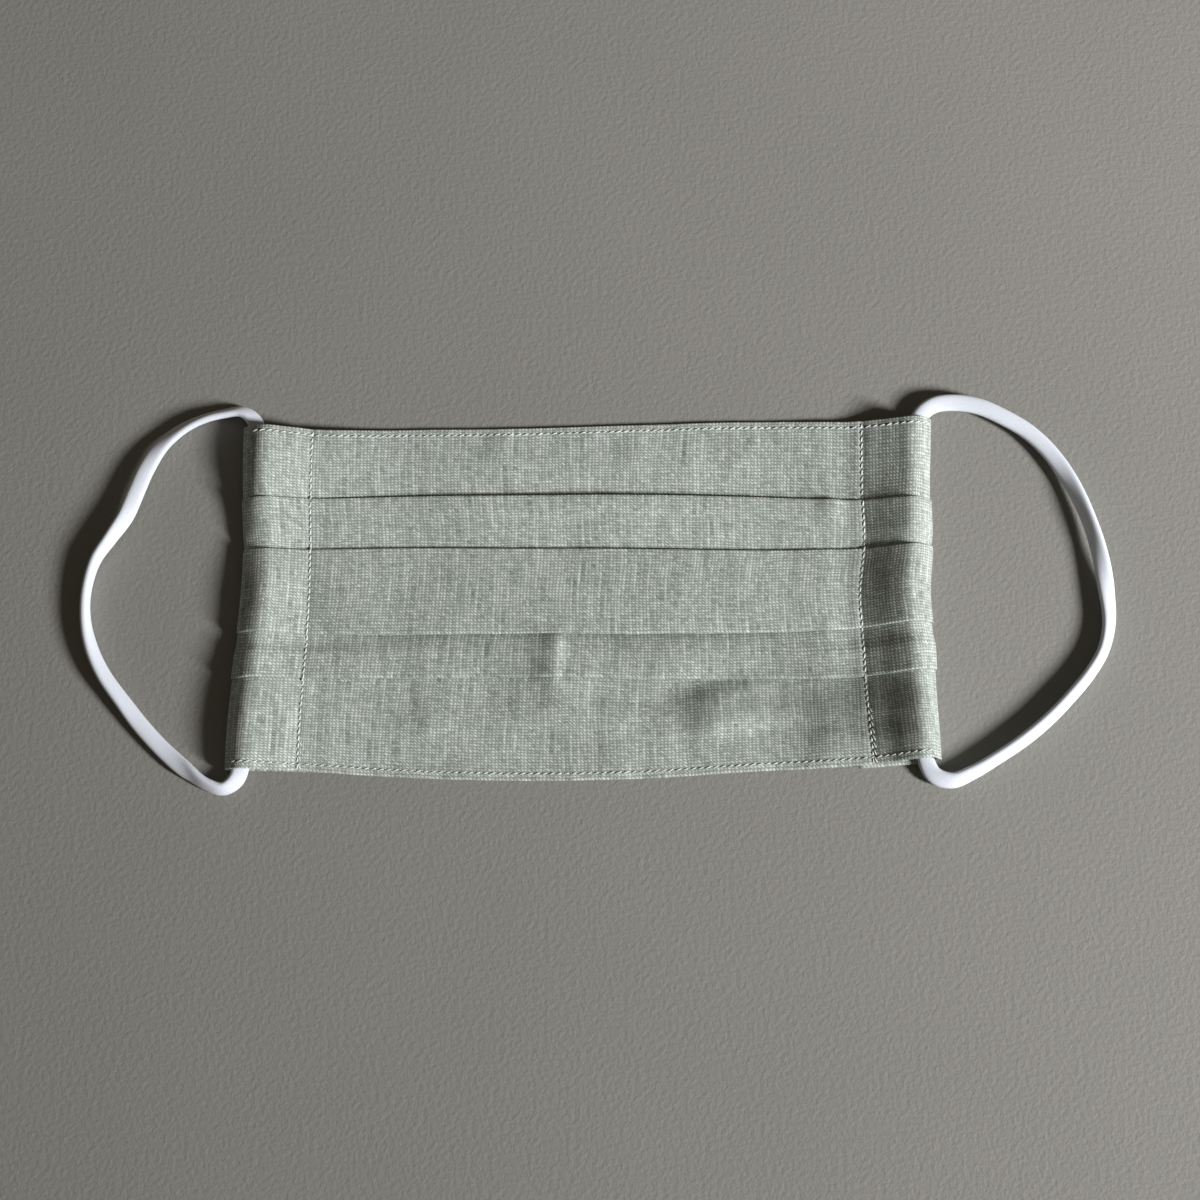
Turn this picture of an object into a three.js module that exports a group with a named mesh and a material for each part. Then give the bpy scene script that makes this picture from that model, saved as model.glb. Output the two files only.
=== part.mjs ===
import * as THREE from 'three';

// A pleated cloth face mask lying face up. Millimetres, +X to the wearer's side edges, +Y towards the nose
// edge, +Z up. The origin is on the table, under the middle of the cloth.

// Face cloth
const maskWidth = 180.4;
const maskHeight = 94.1;
const clothWall = 1.0;
const layerGap = 0.3;

// Pleats and hems: how far each fold runs under the panel in front of it, and how steeply the cloth may climb
const pleatDepth = 8.0;
const hemWidth = 4.0;
const steepestClimb = 0.7;

// Side casings, from the outer fold to the stitched seam, and the cloth left beyond the seam
const casingWidth = 18.5;
const seamAllowance = 2.0;
const casingSetback = 1.2;
const fitGap = 0.3;

// Flat elastic and how far its middle lies inside the outer fold of the casing
const elasticWidth = 4.3;
const elasticThickness = 2.2;
const elasticInset = 4.6;

// Height of the soft swells in the front
const swellHeight = 1.3;

// Finishes of the cloth and the elastic
const clothColour = 0x9ba29c;
const clothRoughness = 0.92;
const elasticColour = 0xe2e5e9;
const elasticRoughness = 0.8;

// Mesh fineness
const middleStations = 15;
const casingStations = 12;
const foldSegments = 3;
const elasticSides = 8;
const elasticSteps = 76;

const halfWidth = maskWidth / 2;
const halfHeight = maskHeight / 2;
const layerPitch = clothWall + layerGap;
const foldRadius = layerPitch / 2;
const foldReach = foldRadius + clothWall / 2;
const clothLevel = clothWall / 2;
const backLift = clothWall + fitGap;
const tunnelRise = elasticThickness + fitGap;
const bandOuter = elasticInset - elasticWidth / 2;
const bandInner = elasticInset + elasticWidth / 2;
const casingReach = casingWidth + seamAllowance;

// The lines seen from the front, with the pleats numbered from the nose edge down. across is a share of the
// half width, the rest are shares of the half height. Pleats 1 and 2 open to the nose edge, 3 and 4 to the
// chin edge.
const frontLines = [
  { across: -1, top: 0.945, pleat1: 0.531, pleat2: 0.255, pleat3: -0.206, pleat4: -0.461, bottom: -0.945 },
  { across: -0.78, top: 0.941, pleat1: 0.544, pleat2: 0.262, pleat3: -0.21, pleat4: -0.452, bottom: -0.953 },
  { across: -0.54, top: 0.949, pleat1: 0.563, pleat2: 0.274, pleat3: -0.21, pleat4: -0.45, bottom: -0.979 },
  { across: -0.2, top: 0.958, pleat1: 0.569, pleat2: 0.272, pleat3: -0.202, pleat4: -0.446, bottom: -0.998 },
  { across: 0.16, top: 0.979, pleat1: 0.573, pleat2: 0.27, pleat3: -0.204, pleat4: -0.45, bottom: -0.989 },
  { across: 0.5, top: 0.996, pleat1: 0.561, pleat2: 0.262, pleat3: -0.197, pleat4: -0.453, bottom: -0.951 },
  { across: 0.78, top: 0.991, pleat1: 0.539, pleat2: 0.265, pleat3: -0.178, pleat4: -0.448, bottom: -0.932 },
  { across: 1.0, top: 0.998, pleat1: 0.533, pleat2: 0.274, pleat3: -0.151, pleat4: -0.408, bottom: -0.898 },
];

// The outer folds of the two sides, as shares of the half width. up is a share of the half height.
const sideEdges = [
  { up: -1.0, left: 1.0, right: 0.993 },
  { up: -0.65, left: 0.996, right: 0.988 },
  { up: -0.3, left: 0.983, right: 0.988 },
  { up: 0.04, left: 0.971, right: 0.979 },
  { up: 0.25, left: 0.97, right: 0.989 },
  { up: 0.6, left: 0.979, right: 0.991 },
  { up: 1.0, left: 0.983, right: 1.0 },
];

// Soft swells that lift the cloth off the table: middle and reach as shares of the half sizes, rise as a
// share of the swell height.
const swells = [
  { across: -0.36, up: -0.72, wide: 0.13, tall: 0.34, rise: 1.0 },
  { across: -0.05, up: -0.7, wide: 0.12, tall: 0.36, rise: 0.6 },
  { across: 0.38, up: -0.68, wide: 0.11, tall: 0.34, rise: 1.0 },
  { across: -0.1, up: -0.3, wide: 0.07, tall: 0.2, rise: 0.7 },
  { across: -0.5, up: 0.2, wide: 0.16, tall: 0.4, rise: 0.5 },
  { across: 0.22, up: 0.05, wide: 0.2, tall: 0.3, rise: 0.5 },
  { across: 0.5, up: 0.7, wide: 0.14, tall: 0.3, rise: 0.6 },
];

// The face cloth where it rides over the elastic: up from the outer fold, over the crest above the elastic and
// down to the seam. across is a share of the way of each slope, rise one of the tunnel's height.
const climbToElastic = [
  { across: 0, rise: 0 },
  { across: 0.25, rise: 0.45 },
  { across: 0.53, rise: 0.8 },
  { across: 0.9, rise: 1 },
];
const crestRise = 1.06;
const fallToSeam = [
  { across: 0, rise: 1 },
  { across: 0.22, rise: 0.72 },
  { across: 0.5, rise: 0.34 },
  { across: 0.77, rise: 0.08 },
  { across: 1, rise: 0 },
];

// Routes of the two elastics, chosen by hand, each row [x, y, z]: from the joint inside the casing out of the
// top mouth, round the loop on the table, into the bottom mouth and up the casing to the joint again.
const leftElasticRoute = [
  [-83.5, 24.0, 2.4], [-83.8, 34.0, 2.4], [-84.2, 42.0, 2.4], [-85.9, 47.0, 2.4], [-89.2, 49.2, 2.3],
  [-93.0, 48.8, 2.2], [-98.5, 47.4, 2.2], [-104.3, 44.5, 2.3], [-109.6, 39.6, 2.6], [-113.0, 33.4, 3.0],
  [-115.3, 27.1, 3.3], [-117.6, 20.9, 3.4], [-121.3, 15.1, 3.2], [-124.9, 9.4, 2.8], [-126.9, 1.6, 2.3],
  [-126.8, -5.7, 2.2], [-124.9, -13.2, 2.2], [-121.6, -19.9, 2.2], [-116.6, -26.7, 1.8], [-111.0, -33.7, 1.4],
  [-104.7, -40.1, 1.4], [-98.6, -45.1, 2.0], [-94.2, -48.0, 2.2], [-90.0, -49.1, 2.2], [-86.7, -46.6, 2.4],
  [-85.6, -41.0, 2.4], [-85.3, -30.0, 2.4], [-84.1, -14.0, 2.4], [-83.0, 2.0, 2.4], [-82.9, 12.0, 2.4],
  [-83.4, 22.8, 2.4],
];
const rightElasticRoute = [
  [84.7, 24.0, 2.4], [85.0, 35.0, 2.4], [85.6, 43.5, 2.4], [87.1, 48.0, 2.5], [90.6, 50.8, 2.7],
  [96.1, 51.5, 2.8], [102.2, 50.5, 2.8], [108.5, 47.7, 2.6], [114.6, 44.0, 2.3], [119.8, 38.9, 2.3],
  [124.3, 32.0, 2.6], [127.8, 24.3, 3.1], [130.3, 16.7, 3.3], [132.0, 9.0, 3.1], [133.1, 0.5, 2.5],
  [133.3, -6.6, 2.2], [131.6, -13.6, 2.2], [127.8, -19.8, 2.3], [122.8, -25.6, 2.5], [116.8, -31.6, 2.6],
  [110.4, -36.8, 2.6], [103.6, -41.3, 2.4], [97.4, -44.9, 2.2], [92.0, -47.0, 2.2], [87.4, -45.6, 2.3],
  [85.2, -40.5, 2.4], [84.6, -30.0, 2.4], [84.4, -14.0, 2.4], [83.8, 2.0, 2.4], [84.4, 12.0, 2.4],
  [84.7, 22.8, 2.4],
];

// A smooth value between the rows of a table, read from column key at the place at along column by
function readTable(rows, by, key, at) {
  const last = rows.length - 1;
  let low = 0;
  while (low < last - 1 && at > rows[low + 1][by]) low += 1;
  const span = rows[low + 1][by] - rows[low][by];
  const share = THREE.MathUtils.clamp((at - rows[low][by]) / span, 0, 1);
  const slope = (index) => {
    const before = rows[Math.max(index - 1, 0)];
    const after = rows[Math.min(index + 1, last)];
    return (after[key] - before[key]) / (after[by] - before[by]);
  };
  const squared = share * share;
  const cubed = squared * share;
  return (2 * cubed - 3 * squared + 1) * rows[low][key]
    + (cubed - 2 * squared + share) * span * slope(low)
    + (3 * squared - 2 * cubed) * rows[low + 1][key]
    + (cubed - squared) * span * slope(low + 1);
}

function lineHeight(key, x) {
  return halfHeight * readTable(frontLines, 'across', key, x / halfWidth);
}

// Distance of a side's outer fold from the middle line
function edgeDistance(side, y) {
  return halfWidth * readTable(sideEdges, 'up', side < 0 ? 'left' : 'right', y / halfHeight);
}

function swellAt(x, y) {
  let height = 0;
  for (const swell of swells) {
    const across = (x / halfWidth - swell.across) / swell.wide;
    const up = (y / halfHeight - swell.up) / swell.tall;
    const distance = across * across + up * up;
    if (distance < 1) height += swellHeight * swell.rise * (1 - distance) ** 2;
  }
  return height;
}

// A half turn of the cloth at a fold. facing is +1 where the fold's edge faces +Y and -1 where it faces -Y,
// climb is +1 where the cloth goes from the lower layer to the upper one.
function foldPoints(edgeY, lowZ, facing, climb) {
  const points = [];
  for (let step = 0; step <= foldSegments; step += 1) {
    const angle = climb * (-Math.PI / 2 + (Math.PI * step) / foldSegments);
    const isMiddle = step > 0 && step < foldSegments;
    points.push({
      y: edgeY - facing * foldReach + facing * foldRadius * Math.cos(angle),
      z: lowZ + foldRadius + foldRadius * Math.sin(angle),
      turn: isMiddle ? facing * climb : 0,
    });
  }
  return points;
}

// The middle line of the folded cloth, from the raw edge of the top hem to that of the bottom hem
function foldedCloth(x) {
  const top = lineHeight('top', x);
  const pleat1 = lineHeight('pleat1', x);
  const pleat2 = lineHeight('pleat2', x);
  const pleat3 = lineHeight('pleat3', x);
  const pleat4 = lineHeight('pleat4', x);
  const bottom = lineHeight('bottom', x);
  const full = 2 * layerPitch;
  const hemClimb = layerPitch / steepestClimb;
  const flat = (y, z) => ({ y, z, turn: 0 });
  const along = (from, to, share, z) => flat(THREE.MathUtils.lerp(from, to, share), z);

  const upperRun = pleat1 - pleatDepth - pleat2 + clothWall;
  const lowerRun = pleat3 - pleat4 - pleatDepth + clothWall;
  const upperLevel = clothLevel + Math.max(0, full - steepestClimb * upperRun);
  const lowerLevel = clothLevel + Math.max(0, full - steepestClimb * lowerRun);
  const topHemEnd = top - hemWidth;
  const bottomHemEnd = bottom + hemWidth;

  return [
    flat(topHemEnd, clothLevel),
    ...foldPoints(top, clothLevel, 1, 1),
    flat(topHemEnd, clothLevel + layerPitch),
    flat(topHemEnd - hemClimb, clothLevel),
    along(topHemEnd - hemClimb, pleat1, 0.6, clothLevel),
    ...foldPoints(pleat1 - pleatDepth, clothLevel, -1, 1),
    ...foldPoints(pleat1, clothLevel + layerPitch, 1, 1),
    flat(pleat1 - pleatDepth + clothWall / 2, clothLevel + full),
    flat(pleat2 - clothWall / 2, upperLevel),
    ...foldPoints(pleat2 - pleatDepth, upperLevel, -1, 1),
    ...foldPoints(pleat2, upperLevel + layerPitch, 1, 1),
    along(pleat2, pleat3, 0.3, THREE.MathUtils.lerp(upperLevel, lowerLevel, 0.3) + full),
    along(pleat2, pleat3, 0.7, THREE.MathUtils.lerp(upperLevel, lowerLevel, 0.7) + full),
    ...foldPoints(pleat3, lowerLevel + layerPitch, -1, -1),
    ...foldPoints(pleat3 + pleatDepth, lowerLevel, 1, -1),
    flat(pleat3 + clothWall / 2, lowerLevel),
    flat(pleat4 + pleatDepth - clothWall / 2, clothLevel + full),
    ...foldPoints(pleat4, clothLevel + layerPitch, -1, -1),
    ...foldPoints(pleat4 + pleatDepth, clothLevel, 1, -1),
    along(pleat4, bottomHemEnd + hemClimb, 0.1, clothLevel),
    along(pleat4, bottomHemEnd + hemClimb, 0.6, clothLevel),
    flat(bottomHemEnd + hemClimb, clothLevel),
    flat(bottomHemEnd, clothLevel + layerPitch),
    ...foldPoints(bottom, clothLevel, -1, -1),
    flat(bottomHemEnd, clothLevel),
  ];
}

// One face of the cloth, half a wall from its middle line. The inner face of a fold skips the turn's points.
function clothFace(path, hand) {
  const face = [];
  path.forEach((point, index) => {
    if (point.turn * hand > 0) return;
    const before = path[Math.max(index - 1, 0)];
    const after = path[Math.min(index + 1, path.length - 1)];
    const back = new THREE.Vector2(point.y - before.y, point.z - before.z).normalize();
    const on = new THREE.Vector2(after.y - point.y, after.z - point.z).normalize();
    const heading = back.clone().add(on).normalize();
    const widen = index > 0 && index < path.length - 1 ? 1 / Math.max(heading.dot(on), 0.8) : 1;
    const offset = (hand * clothWall * widen) / 2;
    face.push(new THREE.Vector2(point.y - heading.y * offset, point.z + heading.x * offset));
  });
  return face;
}

function clothOutline(x) {
  const path = foldedCloth(x);
  return [...clothFace(path, 1), ...clothFace(path, -1).reverse()];
}

// A closed body through rings of equal length, capped at both ends by their flat contours. The contours'
// plane faces the way in which the rings follow each other.
function loftBody(rings, contours) {
  const size = rings[0].length;
  const positions = rings.flat().flatMap((point) => point.toArray());
  const isReversed = THREE.ShapeUtils.isClockWise(contours[0]);
  const faces = [];
  const addFace = (a, b, c, flipped) => faces.push(...(flipped ? [a, c, b] : [a, b, c]));
  for (let ring = 0; ring < rings.length - 1; ring += 1) {
    for (let index = 0; index < size; index += 1) {
      const next = (index + 1) % size;
      const near = ring * size;
      const far = near + size;
      addFace(near + index, near + next, far + next, isReversed);
      addFace(near + index, far + next, far + index, isReversed);
    }
  }
  const lastRing = (rings.length - 1) * size;
  const firstCap = THREE.ShapeUtils.triangulateShape(contours[0], []);
  const lastCap = THREE.ShapeUtils.triangulateShape(contours[contours.length - 1], []);
  for (const [a, b, c] of firstCap) addFace(a, b, c, true);
  for (const [a, b, c] of lastCap) addFace(lastRing + a, lastRing + b, lastRing + c, false);
  const geometry = new THREE.BufferGeometry();
  geometry.setAttribute('position', new THREE.Float32BufferAttribute(positions, 3));
  geometry.setIndex(faces);
  return geometry;
}

// How high the face cloth rides over the turned-back casing and the elastic, from the outer fold inwards
function casingProfile() {
  const inner = casingReach + fitGap;
  const climb = climbToElastic.map(({ across, rise }) => ({
    inset: across * bandOuter,
    lift: backLift + rise * tunnelRise,
  }));
  const fall = fallToSeam.map(({ across, rise }) => ({
    inset: THREE.MathUtils.lerp(bandInner, casingWidth, across),
    lift: backLift + rise * tunnelRise,
  }));
  return [
    ...climb,
    { inset: elasticInset, lift: backLift + crestRise * tunnelRise },
    ...fall,
    { inset: inner, lift: backLift },
    { inset: inner + backLift, lift: backLift / 2 },
    { inset: inner + 2 * backLift, lift: 0 },
  ];
}

// Sections of the face cloth from the left outer fold to the right one
function clothStations() {
  const profile = casingProfile();
  const innermost = profile[profile.length - 1].inset;
  const atSide = (side) => profile.map(({ inset, lift }) => ({
    x: side * (halfWidth - inset),
    place: (y) => side * (edgeDistance(side, y) - inset),
    lift,
  }));
  const middle = [];
  for (let step = 1; step < middleStations; step += 1) {
    const share = step / middleStations;
    const place = (y) => {
      const left = innermost - edgeDistance(-1, y);
      const right = edgeDistance(1, y) - innermost;
      return THREE.MathUtils.lerp(left, right, share);
    };
    middle.push({ x: (halfWidth - innermost) * (2 * share - 1), place, lift: 0 });
  }
  return [...atSide(-1), ...middle, ...atSide(1).reverse()];
}

function pleatedPanel() {
  const stations = clothStations();
  const contours = stations.map((station) => clothOutline(station.x));
  const rings = stations.map((station, index) => contours[index].map((point) => new THREE.Vector3(
    station.place(point.x),
    point.x,
    point.y + station.lift + swellAt(station.x, point.x),
  )));
  return loftBody(rings, contours);
}

// The turned-back cloth of one side: flat on the table, rounded at the outer fold
function casing(side) {
  const profile = [
    { inset: 0, z: clothWall },
    { inset: 0, z: 0.6 * clothWall },
    { inset: 0.3 * clothWall, z: 0.15 * clothWall },
    { inset: 0.8 * clothWall, z: 0 },
    { inset: casingReach, z: 0 },
    { inset: casingReach, z: clothWall },
  ];
  const contour = profile.map(({ inset, z }) => new THREE.Vector2(side * (halfWidth - inset), z));
  const rings = [];
  for (let step = 0; step <= casingStations; step += 1) {
    const share = step / casingStations;
    rings.push(profile.map(({ inset, z }) => {
      const x = side * (halfWidth - inset);
      const bottom = lineHeight('bottom', x) + casingSetback;
      const top = lineHeight('top', x) - casingSetback;
      const y = THREE.MathUtils.lerp(top, bottom, share);
      return new THREE.Vector3(side * (edgeDistance(side, y) - inset), y, z);
    }));
  }
  return loftBody(rings, [contour]);
}

// Flat elastic along its route
function earLoop(route) {
  const section = new THREE.Shape();
  for (let corner = 0; corner < elasticSides; corner += 1) {
    const angle = (2 * Math.PI * corner) / elasticSides;
    const across = (elasticThickness / 2) * Math.cos(angle);
    const along = (elasticWidth / 2) * Math.sin(angle);
    if (corner === 0) section.moveTo(across, along);
    else section.lineTo(across, along);
  }
  section.closePath();
  const path = new THREE.CatmullRomCurve3(route.map((point) => new THREE.Vector3(...point)));
  return new THREE.ExtrudeGeometry(section, { steps: elasticSteps, bevelEnabled: false, extrudePath: path });
}

function finish(colour, roughness) {
  return new THREE.MeshStandardMaterial({ color: colour, roughness, metalness: 0 });
}

function piece(name, geometry, material) {
  const mesh = new THREE.Mesh(geometry, material);
  mesh.name = name;
  return mesh;
}

const mask = new THREE.Group();
mask.name = 'cloth_face_mask';
mask.add(piece('pleated_panel', pleatedPanel(), finish(clothColour, clothRoughness)));
mask.add(piece('left_casing', casing(-1), finish(clothColour, clothRoughness)));
mask.add(piece('right_casing', casing(1), finish(clothColour, clothRoughness)));
mask.add(piece('left_ear_loop', earLoop(leftElasticRoute), finish(elasticColour, elasticRoughness)));
mask.add(piece('right_ear_loop', earLoop(rightElasticRoute), finish(elasticColour, elasticRoughness)));

export default mask;
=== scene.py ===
import math

import bpy
import numpy as np
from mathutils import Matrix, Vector, noise
from mathutils.bvhtree import BVHTree


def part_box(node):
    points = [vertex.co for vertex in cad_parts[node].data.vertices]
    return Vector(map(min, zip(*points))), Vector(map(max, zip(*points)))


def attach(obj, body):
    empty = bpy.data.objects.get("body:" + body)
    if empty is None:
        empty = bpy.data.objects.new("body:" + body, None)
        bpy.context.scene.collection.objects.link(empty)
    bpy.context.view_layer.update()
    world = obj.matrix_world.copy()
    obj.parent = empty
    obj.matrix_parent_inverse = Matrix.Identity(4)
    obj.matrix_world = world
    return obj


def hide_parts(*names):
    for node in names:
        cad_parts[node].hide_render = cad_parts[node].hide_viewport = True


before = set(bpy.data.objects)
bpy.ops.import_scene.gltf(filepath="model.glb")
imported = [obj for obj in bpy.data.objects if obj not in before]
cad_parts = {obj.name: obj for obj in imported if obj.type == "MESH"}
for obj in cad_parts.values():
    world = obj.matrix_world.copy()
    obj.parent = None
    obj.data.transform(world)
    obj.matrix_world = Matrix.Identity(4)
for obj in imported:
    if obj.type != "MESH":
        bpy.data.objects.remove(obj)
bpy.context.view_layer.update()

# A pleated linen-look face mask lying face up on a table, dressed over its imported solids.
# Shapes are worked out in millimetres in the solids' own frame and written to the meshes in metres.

MM = 0.001
panel_low, panel_high = (np.array(corner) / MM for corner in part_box("pleated_panel"))

# Sizes of the cloth. A value given by side is for -1, the left, and 1, the right.
WIDEST_SHARE = 0.999
TALLEST_SHARE = 0.997
HALF_WIDTH = (panel_high[0] - panel_low[0]) / 2 / WIDEST_SHARE
HALF_HEIGHT = (panel_high[1] - panel_low[1]) / 2 / TALLEST_SHARE
CLOTH = 0.36
LAYER_PITCH = 0.40
HEM_PITCH = 0.34
PLEAT_DEPTH = 8.0
HEM_WIDTH = 4.0
CASING_REACH = 20.5
BACK_STACK = CLOTH + 2 * LAYER_PITCH + 0.17
EDGE_SPREAD = 0.5
OUTER_LAYER = EDGE_SPREAD * BACK_STACK + 0.02
SEAM_LEAD = {-1: 0.12, 1: 0.50}
MIDDLE_LIFT = 0.35
SLACK = 22.0
MIDDLE_STATIONS = 92
DIP_ROOM = 0.20
LOW_CLOTH = 0.3

# Stitching and elastic
HEM_STITCH_INSET = 1.75
STITCH_PITCH = 1.85
SEAM_PITCH = 1.75
STITCH_LENGTH = 1.60
THREAD = 0.31
SEAM_THREAD = 0.48
# The dark discs of painted shade where the needle went through: their widths by row, and their depth
HEM_HOLE = 0.34
SEAM_HOLE = 0.46
HOLE_DEPTH = 0.07
FRONT_ARCH = 0.24
BACK_ARCH = 0.05
BACK_SINK = 0.10
GUIDE_STEP = 0.45
# Where the rows start and end, and how far a backtack lies beside its seam
HEM_ENDS = {"top": (-87.3, 89.0), "bottom": (-88.6, 88.2)}
SEAM_ENDS = {-1: (-43.6, 43.2), 1: (-42.6, 45.6)}
BACKTACKS = {-1: (-43.6, -37.5, -0.45), 1: (-42.6, -30.0, 0.55)}
ELASTIC_WIDTH = 4.3
ELASTIC_THICKNESS = 2.2
ELASTIC_STEP = 0.8
ELASTIC_CORNERS = 20


def columns(names, rows):
    """A small table as one array for each named column."""
    return dict(zip(names.split(), np.array(rows, float).T))


# The lines seen from the front, pleats numbered from the nose edge down, as shares of the half sizes
FRONT_LINES = columns("across top pleat_1 pleat_2 pleat_3 pleat_4 bottom", [
    (-1.00, 0.945, 0.531, 0.255, -0.206, -0.461, -0.945),
    (-0.78, 0.941, 0.544, 0.262, -0.210, -0.452, -0.953),
    (-0.54, 0.949, 0.563, 0.274, -0.210, -0.450, -0.979),
    (-0.20, 0.958, 0.569, 0.272, -0.202, -0.446, -0.998),
    (0.16, 0.979, 0.573, 0.270, -0.204, -0.450, -0.989),
    (0.50, 0.996, 0.561, 0.262, -0.197, -0.453, -0.951),
    (0.78, 0.991, 0.539, 0.265, -0.178, -0.448, -0.932),
    (1.00, 0.998, 0.533, 0.274, -0.151, -0.408, -0.898),
])

# The outer folds of the two sides, as shares of the half width
SIDE_EDGES = columns("up left right", [
    (-1.00, 1.000, 0.993),
    (-0.65, 0.996, 0.988),
    (-0.30, 0.983, 0.988),
    (0.04, 0.971, 0.979),
    (0.25, 0.970, 0.989),
    (0.60, 0.979, 0.991),
    (1.00, 0.983, 1.000),
])

# The casings from the chin edge up: how far in the seam and the ridge over the elastic lie, how high the
# ridge stands over the back of the casing, and the shares of that height reached at one and at two thirds
# of the way from the seam to the ridge. Millimetres.
LEFT_CASING = columns("up seam ridge rise third two_thirds", [
    (-1.00, 18.5, 5.2, 3.8, 0.36, 0.70),
    (-0.70, 18.6, 5.8, 3.9, 0.36, 0.70),
    (-0.35, 18.3, 6.3, 3.8, 0.33, 0.69),
    (0.02, 17.6, 6.9, 4.3, 0.34, 0.69),
    (0.28, 17.4, 6.6, 2.9, 0.32, 0.68),
    (0.60, 17.9, 6.2, 4.3, 0.36, 0.70),
    (1.00, 18.4, 6.4, 4.3, 0.38, 0.72),
])
RIGHT_CASING = columns("up seam ridge rise third two_thirds", [
    (-1.00, 17.6, 5.2, 6.6, 0.34, 0.76),
    (-0.70, 18.2, 5.2, 6.6, 0.35, 0.76),
    (-0.35, 18.4, 5.5, 5.9, 0.40, 0.77),
    (0.02, 18.2, 6.2, 6.1, 0.43, 0.79),
    (0.28, 17.8, 5.9, 5.7, 0.43, 0.78),
    (0.60, 18.0, 5.2, 5.0, 0.41, 0.75),
    (1.00, 18.5, 5.0, 4.9, 0.40, 0.74),
])

# Ripples of the front, each a soft ridge: its crest (x, y), its lean in degrees from straight up, its reach
# along the crest, to the left and to the right of it, and its height. Millimetres.
RIPPLES = [
    (-39.5, -27.0, 0, 9.0, 3.0, 20.0, 0.55),
    (-4.0, -26.0, 0, 8.0, 15.0, 12.0, 1.50),
    (-7.0, -24.5, 0, 5.0, 4.0, 8.0, 0.45),
    (7.6, -36.5, 4, 9.0, 7.0, 7.0, 0.80),
    (19.0, -37.0, 0, 8.0, 8.0, 6.0, 0.50),
    (33.5, -29.5, 10, 6.5, 8.5, 15.0, 2.30),
    (50.0, -38.0, 0, 10.5, 32.0, 60.0, 1.70),
    (62.0, -40.5, 0, 6.0, 9.0, 60.0, 1.00),
    (71.0, -34.0, -14, 12.0, 19.0, 34.0, 3.40),
    (-77.0, -32.0, 0, 13.0, 40.0, 14.0, 1.50),
    (-77.0, 34.0, 0, 11.0, 40.0, 14.0, 1.90),
    (-57.0, -33.0, 0, 12.0, 9.0, 14.0, 0.35),
    (-7.2, -15.5, -3, 6.5, 5.5, 1.6, 1.20),
    (22.5, -15.5, 0, 6.0, 6.0, 10.0, 0.45),
    (-45.0, -17.0, 0, 6.0, 20.0, 12.0, 0.60),
    (-62.0, 2.0, 0, 12.0, 6.0, 14.0, 0.25),
    (-21.6, 39.5, 0, 4.0, 5.0, 3.0, 0.35),
    (12.8, 39.0, 3, 4.5, 3.0, 5.0, 0.30),
    (27.0, 37.0, 0, 8.0, 4.0, 6.0, 0.22),
    (40.5, 39.0, 0, 5.0, 4.0, 6.0, 0.40),
]

# Routes of the two elastics, the same points as in the part's source, in metres
LEFT_ROUTE = [
    (-0.0835, 0.0240, 0.0024), (-0.0838, 0.0340, 0.0024), (-0.0842, 0.0420, 0.0024),
    (-0.0859, 0.0470, 0.0024), (-0.0892, 0.0492, 0.0023), (-0.0930, 0.0488, 0.0022),
    (-0.0985, 0.0474, 0.0022), (-0.1043, 0.0445, 0.0023), (-0.1096, 0.0396, 0.0026),
    (-0.1130, 0.0334, 0.0030), (-0.1153, 0.0271, 0.0033), (-0.1176, 0.0209, 0.0034),
    (-0.1213, 0.0151, 0.0032), (-0.1249, 0.0094, 0.0028), (-0.1269, 0.0016, 0.0023),
    (-0.1268, -0.0057, 0.0022), (-0.1249, -0.0132, 0.0022), (-0.1216, -0.0199, 0.0022),
    (-0.1166, -0.0267, 0.0018), (-0.1110, -0.0337, 0.0014), (-0.1047, -0.0401, 0.0014),
    (-0.0986, -0.0451, 0.0020), (-0.0942, -0.0480, 0.0022), (-0.0900, -0.0491, 0.0022),
    (-0.0867, -0.0466, 0.0024), (-0.0856, -0.0410, 0.0024), (-0.0853, -0.0300, 0.0024),
    (-0.0841, -0.0140, 0.0024), (-0.0830, 0.0020, 0.0024), (-0.0829, 0.0120, 0.0024),
    (-0.0834, 0.0228, 0.0024),
]
RIGHT_ROUTE = [
    (0.0847, 0.0240, 0.0024), (0.0850, 0.0350, 0.0024), (0.0856, 0.0435, 0.0024),
    (0.0871, 0.0480, 0.0025), (0.0906, 0.0508, 0.0027), (0.0961, 0.0515, 0.0028),
    (0.1022, 0.0505, 0.0028), (0.1085, 0.0477, 0.0026), (0.1146, 0.0440, 0.0023),
    (0.1198, 0.0389, 0.0023), (0.1243, 0.0320, 0.0026), (0.1278, 0.0243, 0.0031),
    (0.1303, 0.0167, 0.0033), (0.1320, 0.0090, 0.0031), (0.1331, 0.0005, 0.0025),
    (0.1333, -0.0066, 0.0022), (0.1316, -0.0136, 0.0022), (0.1278, -0.0198, 0.0023),
    (0.1228, -0.0256, 0.0025), (0.1168, -0.0316, 0.0026), (0.1104, -0.0368, 0.0026),
    (0.1036, -0.0413, 0.0024), (0.0974, -0.0449, 0.0022), (0.0920, -0.0470, 0.0022),
    (0.0874, -0.0456, 0.0023), (0.0852, -0.0405, 0.0024), (0.0846, -0.0300, 0.0024),
    (0.0844, -0.0140, 0.0024), (0.0838, 0.0020, 0.0024), (0.0844, 0.0120, 0.0024),
    (0.0847, 0.0228, 0.0024),
]

# Where each elastic leaves its casing at the nose edge
LEFT_EXIT = (-0.0842, 0.0440, 0.0024)
RIGHT_EXIT = (0.0856, 0.0465, 0.0024)

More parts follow.
